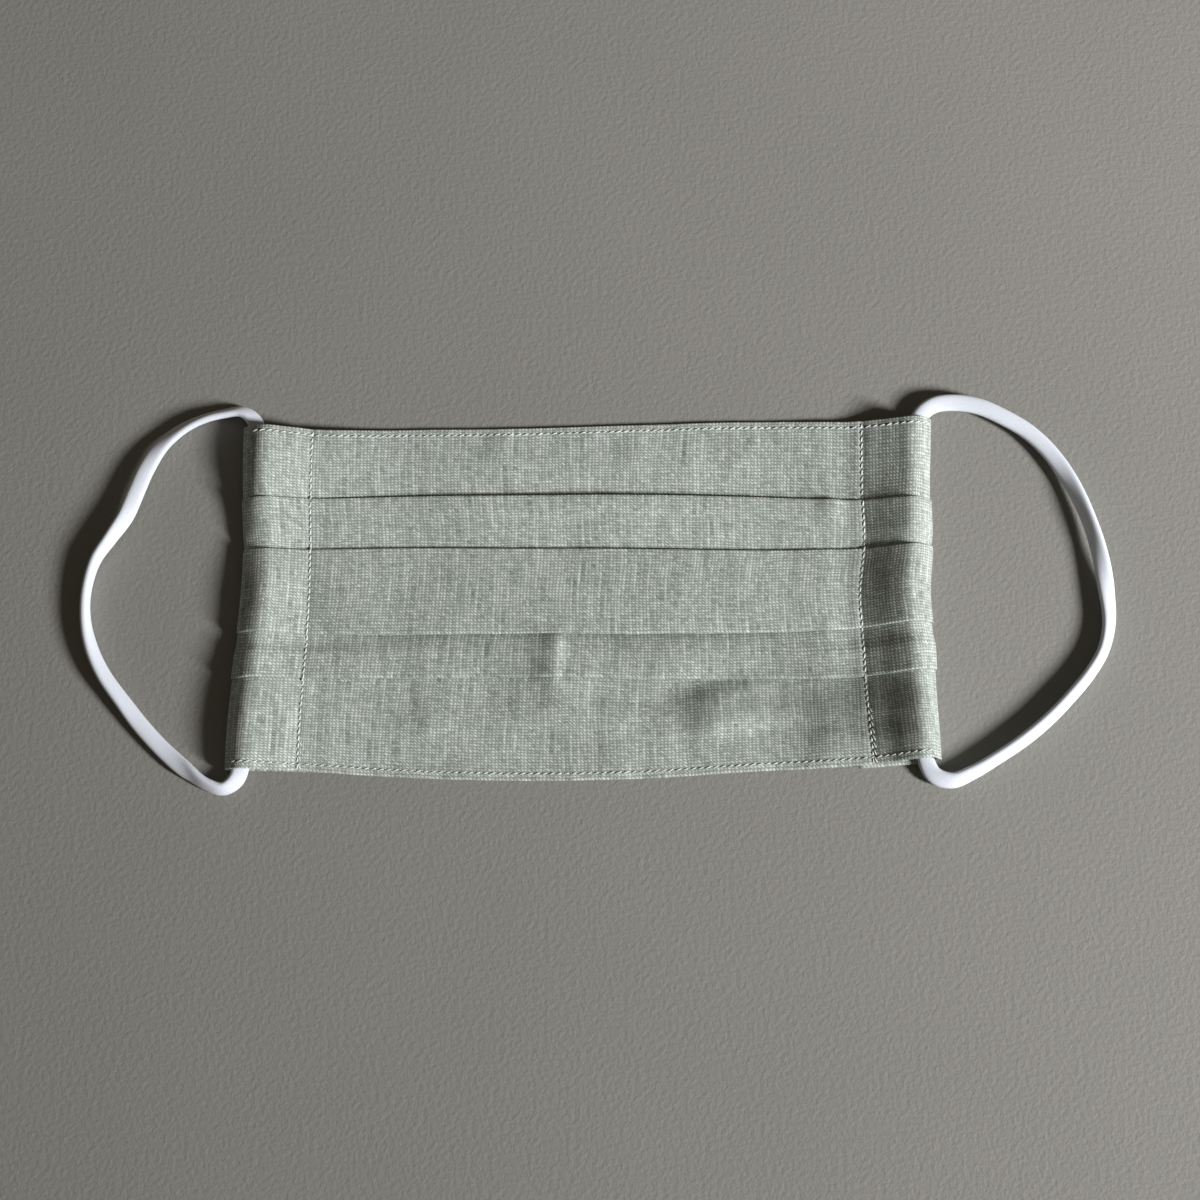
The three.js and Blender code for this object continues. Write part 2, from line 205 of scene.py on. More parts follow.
# How the bands lean along their way: the share of the length, and the turn from lying flat in degrees,
# above 0 where the edge on the left of the way is raised
LEFT_LEAN = columns("share turn", [
    (0.00, 0), (0.075, 0), (0.115, 50), (0.15, 62), (0.20, 35), (0.24, 0), (0.29, -20),
    (0.33, -58), (0.37, -80), (0.42, -84), (0.46, -62), (0.50, -46), (0.53, -38), (0.56, -20),
    (0.60, -14), (0.625, 5), (0.65, 52), (0.68, 60), (0.71, 20), (0.74, 0), (0.77, 0),
    (1.00, 0),
])
RIGHT_LEAN = columns("share turn", [
    (0.00, 0), (0.085, 0), (0.12, 18), (0.16, 5), (0.205, 0), (0.26, 6), (0.30, 36),
    (0.35, 50), (0.39, 20), (0.43, -25), (0.47, -48), (0.54, -54), (0.60, -52), (0.66, -52),
    (0.70, -32), (0.735, 0), (0.76, 0), (1.00, 0),
])


def smooth(table, by, key, at):
    """A smooth value between a table's rows."""
    places, values = table[by], table[key]
    slopes = np.gradient(values, places)
    at = np.clip(at, places[0], places[-1])
    low = np.clip(np.searchsorted(places, at, side="right") - 1, 0, len(places) - 2)
    span = places[low + 1] - places[low]
    share = (at - places[low]) / span
    squared, cubed = share**2, share**3
    return (
        (2 * cubed - 3 * squared + 1) * values[low]
        + (cubed - 2 * squared + share) * span * slopes[low]
        + (3 * squared - 2 * cubed) * values[low + 1]
        + (cubed - squared) * span * slopes[low + 1]
    )


def line_height(key, x):
    """How high one of the front's lines lies at x."""
    return HALF_HEIGHT * smooth(FRONT_LINES, "across", key, x / HALF_WIDTH)


def edge_distance(side, y):
    """How far a side's outer fold lies from the middle."""
    return HALF_WIDTH * smooth(SIDE_EDGES, "up", "left" if side < 0 else "right", y / HALF_HEIGHT)


def casing_value(side, key, y):
    """One of a casing's values at the height y."""
    return smooth(LEFT_CASING if side < 0 else RIGHT_CASING, "up", key, y / HALF_HEIGHT)


def in_scene(name, data):
    """A new object in the scene."""
    made = bpy.data.objects.new(name, data)
    bpy.context.scene.collection.objects.link(made)
    return made


# The camera of the photograph: 12 degrees off straight down, seen from the chin side
CAMERA_TARGET = Vector((0.0040, -0.0004, 0.0))
CAMERA_DISTANCE = 0.520
CAMERA_ELEVATION = 77.6
CAMERA_LENS = 61.0
SENSOR_WIDTH = 36.0


def make_camera():
    lens = bpy.data.cameras.new("camera")
    lens.lens = CAMERA_LENS
    lens.sensor_width = SENSOR_WIDTH
    lens.clip_start, lens.clip_end = 0.01, 20.0
    camera = in_scene("camera", lens)
    elevation = math.radians(CAMERA_ELEVATION)
    back = Vector((0.0, -math.cos(elevation), math.sin(elevation)))
    camera.location = CAMERA_TARGET + CAMERA_DISTANCE * back
    camera.rotation_euler = (math.radians(90 - CAMERA_ELEVATION), 0.0, 0.0)
    bpy.context.scene.camera = camera


def wire(tree, kind, settings=None, **sockets):
    """A node: its settings first, then the values or links of its sockets.

    A socket goes by its name with underscores, or by its number, as in _2.
    """
    made = tree.nodes.new(kind)
    for name, value in (settings or {}).items():
        if name == "stops":
            set_stops(made.color_ramp, value)
        else:
            setattr(made, name, value)
    for name, value in sockets.items():
        socket = made.inputs[int(name[1:]) if name[1:].isdigit() else name.replace("_", " ")]
        if hasattr(value, "is_output"):
            tree.links.new(value, socket)
        else:
            socket.default_value = value
    return made


class Shade:
    """A socket in a material's node tree, so that shader maths reads as plain expressions."""

    def __init__(self, tree, socket=None):
        self.tree, self.socket = tree, socket

    def node(self, kind, settings=None, output=0, **sockets):
        """Any node: its settings first, then the values or links of its sockets, named or numbered."""
        plain = {name: getattr(value, "socket", value) for name, value in sockets.items()}
        return Shade(self.tree, wire(self.tree, kind, settings, **plain).outputs[output])

    def math(self, operation, *values):
        inputs = {f"_{place}": value for place, value in enumerate(values)}
        return self.node("ShaderNodeMath", {"operation": operation}, **inputs)

    def __add__(self, other):
        return self.math("ADD", self, other)

    def __sub__(self, other):
        return self.math("SUBTRACT", self, other)

    def __rsub__(self, other):
        return self.math("SUBTRACT", other, self)

    def __mul__(self, other):
        return self.math("MULTIPLY", self, other)

    __radd__, __rmul__ = __add__, __mul__

    def __truediv__(self, other):
        return self.math("DIVIDE", self, other)

    def sine(self):
        return self.math("SINE", self)

    def floor(self):
        return self.math("FLOOR", self)

    def between(self, low, high):
        """0 below low, 1 above high, smooth between them."""
        return self.node("ShaderNodeMapRange", {"interpolation_type": "SMOOTHSTEP"},
                         Value=self, From_Min=low, From_Max=high)

    def blend(self, first, second):
        """A colour from first to second as this goes from 0 to 1."""
        return self.node("ShaderNodeMix", {"data_type": "RGBA"}, 2, _0=self, _6=first, _7=second)

    def vector(self, x, y, z=0.0):
        return self.node("ShaderNodeCombineXYZ", X=x, Y=y, Z=z)

    def noise(self, where, scale, detail=2.0, roughness=0.5):
        return self.node("ShaderNodeTexNoise", Vector=where, Scale=scale, Detail=detail,
                         Roughness=roughness)

    def bump(self, height, distance, strength=1.0):
        return self.node("ShaderNodeBump", Height=height, Distance=distance, Strength=strength)


def set_stops(ramp, stops):
    while len(ramp.elements) > 1:
        ramp.elements.remove(ramp.elements[-1])
    ramp.elements[0].position, ramp.elements[0].color = stops[0]
    for place, colour in stops[1:]:
        ramp.elements.new(place).color = colour


def new_material(name):
    """A material with its shader and a start for expressions."""
    material = bpy.data.materials.new(name)
    material.use_nodes = True
    shader = material.node_tree.nodes["Principled BSDF"]
    return material, shader, Shade(material.node_tree)


def feed(shader, name, value):
    shader.id_data.links.new(value.socket, shader.inputs[name])


# The cloth: a plain weave of uneven pale and sage threads

WARP_PITCH = 0.89
WEFT_PITCH = 0.76
WARP_SHOWS, WEFT_SHOWS, TWIST_SHOWS = 0.090, 0.115, 0.11
CROSSING_SHOWS, FIBRE_SHOWS = 0.42, 0.70
LINEN_TONES = [
    (0.00, (0.085, 0.115, 0.078, 1)),
    (0.25, (0.205, 0.243, 0.203, 1)),
    (0.50, (0.362, 0.402, 0.376, 1)),
    (0.75, (0.548, 0.592, 0.570, 1)),
    (1.00, (0.760, 0.805, 0.795, 1)),
]


def linen_material():
    """Plain weave from the cloth's flat coordinates, in millimetres."""
    material, shader, start = new_material("sage_linen")
    flat = start.node("ShaderNodeUVMap", {"uv_map": "flat"})
    across = start.node("ShaderNodeSeparateXYZ", Vector=flat)
    up = Shade(start.tree, across.socket.node.outputs[1])
    drift = start.noise(start.vector(across * 0.05, up * 0.05), 1.0, 1.0) - 0.5
    warp_wander = start.noise(start.vector(across * 0.55, up * 0.10, 5.5), 1.0, 1.0) - 0.5
    weft_wander = start.noise(start.vector(across * 0.12, up * 0.60, 8.8), 1.0, 1.0) - 0.5
    warp_place = across / WARP_PITCH + drift * 1.6 + warp_wander * 0.8
    weft_place = up / WEFT_PITCH + drift * 1.3 + weft_wander * 0.8

    # Each thread has its own tone that changes slowly along it, and each crossing one of its own
    warp_count = (warp_place + 0.25).floor()
    weft_count = (weft_place + 0.25).floor()
    warp_tone = start.noise(start.vector(warp_count * 7.31, up * 0.07), 1.0, 2.0, 0.6) - 0.5
    weft_tone = start.noise(start.vector(across * 0.32, weft_count * 5.17), 1.0, 2.0, 0.6) - 0.5
    crossing = start.noise(start.vector(warp_count * 3.71, weft_count * 4.37, 1.9), 1.0, 0.0) - 0.5
    fibre = start.noise(start.vector(warp_place * 2.7, weft_place * 2.7, 6.1), 1.0, 1.0) - 0.5
    cloudy = start.noise(start.vector(across * 0.06, up * 0.06, 3.3), 1.0, 3.0, 0.55) - 0.5

    # The crowns of the threads, and the slant that their twist gives to each crossing, for the bump and for
    # the colour
    turn = 2 * math.pi
    warp_crown = (warp_place * turn).sine()
    weft_crown = (weft_place * turn).sine()
    twist = ((weft_place - warp_place + 0.25) * turn).sine()
    crown = (warp_crown * WARP_SHOWS * (1 + warp_tone * 3) + weft_crown * WEFT_SHOWS * (1 + weft_tone * 3)
             + twist * TWIST_SHOWS * (1 + crossing * 4))
    dark_slub = (0.5 - warp_tone).between(0.66, 0.78)
    own_tones = warp_tone * 0.62 + weft_tone * 0.34 + cloudy * 0.10 - dark_slub * 0.05
    # In the colour the crowns are painted highlight, the gaps between threads painted shade and the twist a
    # slanted painted highlight; the thread tones are the cloth's own
    pale = 0.5 + crown + own_tones + crossing * CROSSING_SHOWS + fibre * FIBRE_SHOWS

    feed(shader, "Base Color", start.node("ShaderNodeValToRGB", {"stops": LINEN_TONES}, Fac=pale))
    feed(shader, "Normal", start.bump(crown, 0.00012, 0.70))
    feed(shader, "Roughness", 0.85 + 0.2 * cloudy)
    shader.inputs["Specular IOR Level"].default_value = 0.22
    shader.inputs["Sheen Weight"].default_value = 0.18
    shader.inputs["Sheen Roughness"].default_value = 0.5
    return material


def thread_material():
    """White sewing thread with an uneven tone."""
    material, shader, start = new_material("white_sewing_thread")
    place = start.node("ShaderNodeTexCoord", output=3)
    uneven = start.noise(place, 900.0, 2.0)
    tone = uneven.between(0.3, 0.7)
    feed(shader, "Base Color", tone.blend((0.52, 0.55, 0.545, 1), (0.74, 0.77, 0.77, 1)))
    feed(shader, "Normal", start.bump(uneven, 0.00006, 0.5))
    feed(shader, "Roughness", 0.55 + 0.2 * uneven)
    shader.inputs["Specular IOR Level"].default_value = 0.3
    return material


def needle_hole_shade_material():
    """Painted shade: a dark colour standing in for the shade in the dimple where the needle went through."""
    material, shader, start = new_material("needle_hole_painted_shade")
    place = start.node("ShaderNodeTexCoord", output=3)
    uneven = start.noise(place, 700.0, 1.0)
    # The dark colour is painted shade, standing in for the shade in the needle's dimple
    feed(shader, "Base Color", uneven.blend((0.040, 0.052, 0.036, 1), (0.120, 0.142, 0.108, 1)))
    shader.inputs["Roughness"].default_value = 0.95
    shader.inputs["Specular IOR Level"].default_value = 0.0
    return material


def elastic_material():
    """Soft white knitted elastic: fine wales along the band and small loops across it."""
    material, shader, start = new_material("white_knit_elastic")
    flat = start.node("ShaderNodeUVMap", {"uv_map": "flat"})
    along = start.node("ShaderNodeSeparateXYZ", Vector=flat)
    around = Shade(start.tree, along.socket.node.outputs[1])
    wander = start.noise(start.vector(along * 0.5, around * 0.8), 1.0, 2.0)
    wales = (around * (2 * math.pi / 0.62) + wander * 2.0).sine()
    loops = (along * (2 * math.pi / 0.55) + wales * 1.4 + wander * 3.0).sine()
    fuzz = start.noise(start.vector(along * 3.0, around * 3.0), 1.0, 3.0, 0.6)
    knit = (wales * 0.03 + loops * 0.14 + fuzz).between(0.05, 0.95)
    feed(shader, "Base Color", knit.blend((0.622, 0.668, 0.750, 1), (0.775, 0.815, 0.897, 1)))
    feed(shader, "Normal", start.bump(knit, 0.00008, 0.40))
    feed(shader, "Roughness", 0.78 + 0.14 * fuzz)
    shader.inputs["Specular IOR Level"].default_value = 0.25
    shader.inputs["Sheen Weight"].default_value = 0.25
    shader.inputs["Sheen Roughness"].default_value = 0.45
    shader.inputs["Subsurface Weight"].default_value = 0.35
    shader.inputs["Subsurface Radius"].default_value = (0.0018, 0.0018, 0.0018)
    return material


def table_material():
    """A painted table top with a faint hide-like grain."""
    material, shader, start = new_material("grey_table")
    place = start.node("ShaderNodeTexCoord", output=3)
    broad = start.noise(place, 14.0, 3.0)
    grain = start.noise(place, 760.0, 3.0, 0.6)
    tone = broad * 0.7 + grain * 0.3
    feed(shader, "Base Color", tone.blend((0.233, 0.229, 0.211, 1), (0.274, 0.270, 0.250, 1)))
    feed(shader, "Normal", start.bump(grain, 0.00045, 0.48))
    feed(shader, "Roughness", 0.55 + 0.15 * grain)
    shader.inputs["Specular IOR Level"].default_value = 0.25
    return material


# The folded cloth


class FoldPath:
    """The cloth's middle line across the pleats, as y and layer height for every station at once."""

    def __init__(self):
        self.y, self.height = [], []

    def add(self, y, height):
        self.y.append(np.broadcast_to(y, STATION_COUNT).astype(float))
        self.height.append(np.broadcast_to(height, STATION_COUNT).astype(float))

    def run(self, start, end, steps, puff=0.0):
        """A stretch from start to end, both (y, height), without its last point; puff swells its middle."""
        for step in range(steps):
            share = step / steps
            ease = share * share * (3 - 2 * share)
            y = start[0] + (end[0] - start[0]) * share
            height = start[1] + (end[1] - start[1]) * ease
            self.add(y, height + puff * np.sin(math.pi * share) ** 1.5)

    def fold(self, edge, low, facing, climb, pitch=LAYER_PITCH):
        """Half a turn at the edge, which faces +1 up or -1 down; climb is +1 where the cloth rises."""
        steps = 6
        reach = pitch / 2 + CLOTH / 2
        for step in range(steps + 1):
            angle = climb * (-math.pi / 2 + math.pi * step / steps)
            self.add(edge - facing * reach + facing * pitch / 2 * math.cos(angle),
                     low + pitch / 2 + pitch / 2 * math.sin(angle))

    def tuck_up(self, start, inner, ground, edge, outer):
        """From the ground layer back below the cloth, and up to a fold that faces the nose edge."""
        self.run(start, fold_ends(inner, ground, -1)[0], 5)
        self.fold(inner, ground, -1, 1)
        self.run(fold_ends(inner, ground, -1)[1], fold_ends(edge, outer, 1)[0], 6)
        self.fold(edge, outer, 1, 1)

    def tuck_down(self, edge, outer, inner, ground, end):
        """From a fold that faces the chin edge back below the cloth, and down to the ground layer."""
        self.fold(edge, outer, -1, -1)
        self.run(fold_ends(edge, outer, -1)[0], fold_ends(inner, ground, 1)[1], 6)
        self.fold(inner, ground, 1, -1)
        self.run(fold_ends(inner, ground, 1)[0], end, 5)


def fold_ends(edge, low, facing, pitch=LAYER_PITCH):
    """Where the flat cloth meets the lower and the upper end of a fold."""
    y = edge - facing * (pitch / 2 + CLOTH / 2)
    return (y, low), (y, low + pitch)


def hump(x, middle, reach):
    """A soft rise along the width, 1 at its middle."""
    return np.exp(-((x - middle) / reach) ** 2)


def fold_cloth(x):
    """The path from the raw edge of the top hem over the four pleats to that of the bottom hem."""
    top, bottom = line_height("top", x), line_height("bottom", x)
    pleat_1, pleat_2, pleat_3, pleat_4 = (line_height(f"pleat_{number}", x) for number in (1, 2, 3, 4))
    inner_1, inner_2 = pleat_1 - PLEAT_DEPTH, pleat_2 - PLEAT_DEPTH
    inner_3, inner_4 = pleat_3 + PLEAT_DEPTH, pleat_4 + PLEAT_DEPTH
    ground = CLOTH / 2
    second = ground + LAYER_PITCH
    third = ground + 2 * LAYER_PITCH

    # Folds stand a little off the cloth below them between the seams, as unpressed folds do
    between_seams = np.clip(1 - (np.abs(x) / 71.0) ** 4, 0, 1)
    open_3 = np.clip(1 - (np.abs(x) / 68.0) ** 8, 0, 1)
    under = 0.45 * LAYER_PITCH * between_seams
    loose_1 = between_seams * (0.50 + 0.30 * hump(x, -3.0, 26.0)) + 0.7 * hump(x, 64.5, 2.6)
    loose_2 = 0.20 * between_seams * (0.8 + 0.2 * np.sin(x / 13.0 + 1.0))
    loose_3 = 0.55 * open_3 * (0.8 + 0.2 * np.sin(x / 15.0))
    loose_4 = 0.45 * between_seams
    outer_1, outer_2 = second + loose_1, second + under + loose_2
    outer_3, outer_4 = second + under + loose_3, second + loose_4

    path = FoldPath()
    hem_end = (top - HEM_WIDTH, ground + HEM_PITCH)
    path.run((top - HEM_WIDTH, ground), fold_ends(top, ground, 1, HEM_PITCH)[0], 6)
    path.fold(top, ground, 1, 1, HEM_PITCH)
    path.run(fold_ends(top, ground, 1, HEM_PITCH)[1], hem_end, 7)

    # Two folds that face the nose edge
    before_1 = (pleat_1 + 0.5, ground)
    path.run(hem_end, before_1, 17, 0.28 * between_seams)
    path.tuck_up(before_1, inner_1, ground, pleat_1, outer_1)
    over_1, before_2 = (inner_1 + 0.2, third), (pleat_2 - 0.2, ground + under)
    path.run(fold_ends(pleat_1, outer_1, 1)[1], over_1, 9, 0.12 * between_seams)
    path.run(over_1, before_2, 7)
    path.tuck_up(before_2, inner_2, ground, pleat_2, outer_2)

    # The middle panel, then two folds that face the chin edge
    path.run(fold_ends(pleat_2, outer_2, 1)[1], fold_ends(pleat_3, outer_3, -1)[1], 24, 0.18 * between_seams)
    after_3 = (pleat_3 + 0.1, ground)
    path.tuck_down(pleat_3, outer_3, inner_3, ground, after_3)
    dip = (pleat_3 - 0.6, ground + 0.40 * open_3)
    swell = (pleat_3 - 2.6, ground + under + 0.80 * open_3)
    over_4 = (inner_4 - 1.5, third + 0.55 * between_seams)
    path.run(after_3, dip, 2)
    path.run(dip, swell, 2)
    path.run(swell, over_4, 3)
    path.run(over_4, fold_ends(pleat_4, outer_4, -1)[1], 8, 0.08 * between_seams)
    path.tuck_down(pleat_4, outer_4, inner_4, ground, (pleat_4, ground))

    hem_start = (bottom + HEM_WIDTH, ground + HEM_PITCH)
    swell = (pleat_4 - 1.0, ground + 0.14 * between_seams)
    path.run((pleat_4, ground), swell, 3)
    path.run(swell, hem_start, 22, 0.22 * between_seams)
    path.run(hem_start, fold_ends(bottom, ground, -1, HEM_PITCH)[1], 7)
    path.fold(bottom, ground, -1, -1, HEM_PITCH)
    path.run(fold_ends(bottom, ground, -1, HEM_PITCH)[0], (bottom + HEM_WIDTH, ground), 6)
    path.add(bottom + HEM_WIDTH, ground)
    return np.array(path.y), np.array(path.height)


def casing_guide(side, y):
    """The cloth's way over the elastic, round the outer fold and back to the casing's inner edge.

    Each row is one control point at the heights y: how far in from the outer fold, how high, and into how
    many steps the stretch to the next is cut.
    """
    keys = ("seam", "ridge", "rise", "third", "two_thirds")
    seam, ridge, rise, third, two_thirds = (casing_value(side, key, y) for key in keys)
    back = BACK_STACK
    inner = CASING_REACH + 0.3
    fall = back - MIDDLE_LIFT
    edge = OUTER_LAYER
    lead = SEAM_LEAD[side]
    rows = [
        (inner + SLACK, MIDDLE_LIFT, 6),
        (inner + 0.66 * SLACK, MIDDLE_LIFT + 0.26 * fall, 5),
        (inner + 0.33 * SLACK, MIDDLE_LIFT + 0.74 * fall, 5),
        (inner, back + 0.20 * lead, 2),
        (seam + 0.8, back + lead, 2),
        (seam, back + lead - 0.08, 2),
        (seam - 0.8, back + lead + 0.05 * rise, 3),
        (seam - (seam - ridge) / 3, back + third * rise, 4),
        (seam - (seam - ridge) * 2 / 3, back + two_thirds * rise, 4),
        (ridge, back + rise, 3),
        (edge + 0.62 * (ridge - edge), back + 0.87 * rise, 3),
        (edge + 0.25 * (ridge - edge), back + 0.58 * rise, 3),
        (edge, back + 0.24 * rise, 4),
        (edge + 0.9, back + 0.02, 3),
        (edge + 3.2, back, 4),
        (seam - 1.5, back, 2),
        (seam, 0.94 * back, 2),
        (CASING_REACH, back, 1),
    ]
    points = np.array([np.broadcast_arrays(row[0] + 0 * y, row[1] + 0 * y) for row in rows])
    return points, [row[2] for row in rows]


def gap(start, end):
    """The distance between two points, never quite nothing."""
    return np.maximum(np.hypot(*(end - start)), 1e-6)


def guide_points(side, y, segment, share):
    """The guide's place and outward direction at a share of one of its segments, for the heights y."""
    points, _ = casing_guide(side, y)
    last = len(points) - 1
    p0, p1 = points[max(segment - 1, 0)], points[segment]
    p2, p3 = points[min(segment + 1, last)], points[min(segment + 2, last)]
    d01, d12, d23 = gap(p0, p1), gap(p1, p2), gap(p2, p3)
    straight = (p2 - p1) / d12
    m1 = straight if segment == 0 else straight - (p2 - p0) / (d01 + d12) + (p1 - p0) / d01
    m2 = straight if segment + 2 > last else (p3 - p2) / d23 - (p3 - p1) / (d12 + d23) + straight
    s, s2, s3 = share, share**2, share**3
    place = ((2 * s3 - 3 * s2 + 1) * p1 + (s3 - 2 * s2 + s) * d12 * m1
             + (3 * s2 - 2 * s3) * p2 + (s3 - s2) * d12 * m2)
    heading = ((6 * s2 - 6 * s) * p1 + (3 * s2 - 4 * s + 1) * d12 * m1
               + (6 * s - 6 * s2) * p2 + (3 * s2 - 2 * s) * d12 * m2)
    heading = heading / np.maximum(np.hypot(*heading), 1e-9)
    # The guide runs outwards over the front, so its outward side is up there and down on the back
    return place, np.array([heading[1], -heading[0]])


def stations():
    """Where the cloth is cut across its width: side and guide place, or a share of the middle."""
    _, steps = casing_guide(-1, np.array([0.0]))
    side = [(segment, step / count) for segment, count in enumerate(steps[:-1]) for step in range(count)]
    side.append((len(steps) - 2, 1.0))
    left = [("side", -1, segment, share) for segment, share in reversed(side)]
    centre = [("middle", step / MIDDLE_STATIONS) for step in range(1, MIDDLE_STATIONS)]
    right = [("side", 1, segment, share) for segment, share in side]
    return left + centre + right


STATIONS = stations()
STATION_COUNT = len(STATIONS)
INNERMOST = CASING_REACH + 0.3 + SLACK
# The place in the casing guide, in segments, where the back begins, and over how many the ripples fade out
BACK_BEGINS = 13.0
RIPPLE_FADE = 3.0


def station_x(station):
    """The nominal x of a station, at which its pleat lines are read."""
    if station[0] == "middle":
        return (HALF_WIDTH - INNERMOST) * (2 * station[1] - 1)
    _, side, segment, share = station
    place, _ = guide_points(side, np.array([0.0]), segment, share)
    return side * (HALF_WIDTH - place[0][0])


def ripple_height(x, y):
    """The soft ridges and dips of the front."""
    height = np.zeros_like(x)
    for crest_x, crest_y, lean, reach, left, right, rise in RIPPLES:
        tilt = math.radians(lean)
        across = (x - crest_x) * math.cos(tilt) + (y - crest_y) * math.sin(tilt)
        along = (y - crest_y) * math.cos(tilt) - (x - crest_x) * math.sin(tilt)
        width = np.where(across < 0, left, right)
        height += rise * np.exp(-1.2 * (across / width) ** 2 - (along / reach) ** 4)
    return height


def unevenness(x, y):
    """Small waves of washed cloth, the same on each run."""
    places = list(zip(x.ravel(), y.ravel()))
    waves = np.array([noise.noise(Vector((a * 0.075, b * 0.06, 4.2))) for a, b in places])
    fine = np.array([noise.noise(Vector((a * 0.21, b * 0.17, 9.1))) for a, b in places])
    return (0.22 * waves + 0.07 * fine).reshape(x.shape)


def unit(y, height):
    """The same directions with length 1."""
    length = np.maximum(np.hypot(y, height), 1e-9)
    return y / length, height / length


def cloth_faces(y, height):
    """The two faces of the cloth, half its thickness from the middle line, along the path's first axis."""
    back_y = np.diff(y, axis=0, prepend=2 * y[:1] - y[1:2])
    back_h = np.diff(height, axis=0, prepend=2 * height[:1] - height[1:2])
    on_y, on_h = np.roll(back_y, -1, axis=0), np.roll(back_h, -1, axis=0)
    on_y[-1], on_h[-1] = back_y[-1], back_h[-1]
    back_y, back_h = unit(back_y, back_h)
    on_y, on_h = unit(on_y, on_h)
    go_y, go_h = unit(back_y + on_y, back_h + on_h)
    half = CLOTH / 2
    return (y - go_h * half, height + go_y * half), (y + go_h * half, height - go_y * half)


def place_layer(y, height):
    """Points in millimetres for cloth at y (path by station) and its height over the guide."""
    x_out, z_out = np.empty_like(y), np.empty_like(y)
    for column, station in enumerate(STATIONS):
        at_y, over = y[:, column], height[:, column]
        if station[0] == "middle":
            left = INNERMOST - edge_distance(-1, at_y)
            right = edge_distance(1, at_y) - INNERMOST
            x_out[:, column] = left + (right - left) * station[1]
            z_out[:, column] = MIDDLE_LIFT + over
            continue
        _, side, segment, share = station
        place, out = guide_points(side, at_y, segment, share)
        inset = place[0] + EDGE_SPREAD * over * out[0]
        x_out[:, column] = side * (edge_distance(side, at_y) - inset)
        z_out[:, column] = place[1] + over * out[1]
    return x_out, z_out


def front_share():
    """1 where a station lies on the front, 0 on the back of a casing, for the ripples."""
    shares = []
    for station in STATIONS:
        if station[0] == "middle":
            shares.append(1.0)
        else:
            shares.append(float(np.clip((BACK_BEGINS - station[2] - station[3]) / RIPPLE_FADE, 0, 1)))
    return np.array(shares)


def length_along(first, second):
    """The length of a path at each of its points."""
    return np.concatenate([[0.0], np.cumsum(np.hypot(np.diff(first), np.diff(second)))])


def make_face_cloth(material):
    """One closed sheet: front and back faces of the folded cloth, joined along its raw edges."""
    nominal = np.array([station_x(station) for station in STATIONS])
    y, height = fold_cloth(nominal)
    upper, lower = cloth_faces(y, height)
    on_front = front_share()[None, :]
    shells = []
    for face_y, face_height in (upper, lower):
        x_mm, z_mm = place_layer(face_y, face_height)
        lift = ripple_height(x_mm, face_y) + unevenness(x_mm, face_y)
        # A dip never presses the cloth through the table or the back of the casing
        room = np.clip(lift + DIP_ROOM, 0.0, None)
        z_mm = z_mm + on_front * room * np.clip(z_mm / LOW_CLOTH, 0.35, 1.0)
        shells.append(np.stack([x_mm, face_y, z_mm], axis=-1))
    shell_a, shell_b = shells
    rows, cols = y.shape
    points = np.concatenate([shell_a.reshape(-1, 3), shell_b.reshape(-1, 3)]) * MM

    index = np.arange(rows * cols).reshape(rows, cols)
    other = index + rows * cols
    faces = []

    def quads(a, b, c, d):
        faces.append(np.stack([a.ravel(), b.ravel(), c.ravel(), d.ravel()], axis=1))

    quads(index[:-1, :-1], index[:-1, 1:], index[1:, 1:], index[1:, :-1])
    quads(other[:-1, :-1], other[1:, :-1], other[1:, 1:], other[:-1, 1:])
    quads(index[0, 1:], index[0, :-1], other[0, :-1], other[0, 1:])
    quads(index[-1, :-1], index[-1, 1:], other[-1, 1:], other[-1, :-1])
    quads(index[:-1, 0], index[1:, 0], other[1:, 0], other[:-1, 0])
    quads(index[1:, -1], index[:-1, -1], other[:-1, -1], other[1:, -1])
    faces = np.concatenate(faces)

    middle_row = shell_a[rows // 2]
    along = length_along(y[:, cols // 2], height[:, cols // 2])
    across = length_along(middle_row[:, 0], middle_row[:, 2])
    flat = np.stack(np.meshgrid(across, along), axis=-1).reshape(-1, 2)
    flat = np.concatenate([flat, flat + [0.0, 0.5]])
    return new_piece("face_cloth", points, faces, material, flat), (across[-1], along[-1])


def new_piece(name, points, faces, material, flat=None):
    """A smooth-shaded mesh object at the origin, with its flat coordinates as a UV map."""
    mesh = bpy.data.meshes.new(name)
    mesh.from_pydata(points.tolist(), [], faces.tolist())
    mesh.materials.append(material)
    mesh.polygons.foreach_set("use_smooth", np.ones(len(mesh.polygons), bool))
    if flat is not None:
        layer = mesh.uv_layers.new(name="flat")
        corners = np.empty(len(mesh.loops), int)
        mesh.loops.foreach_get("vertex_index", corners)
        layer.data.foreach_set("uv", flat[corners].astype(np.float32).ravel())
    mesh.update()
    return in_scene(name, mesh)


# The elastics


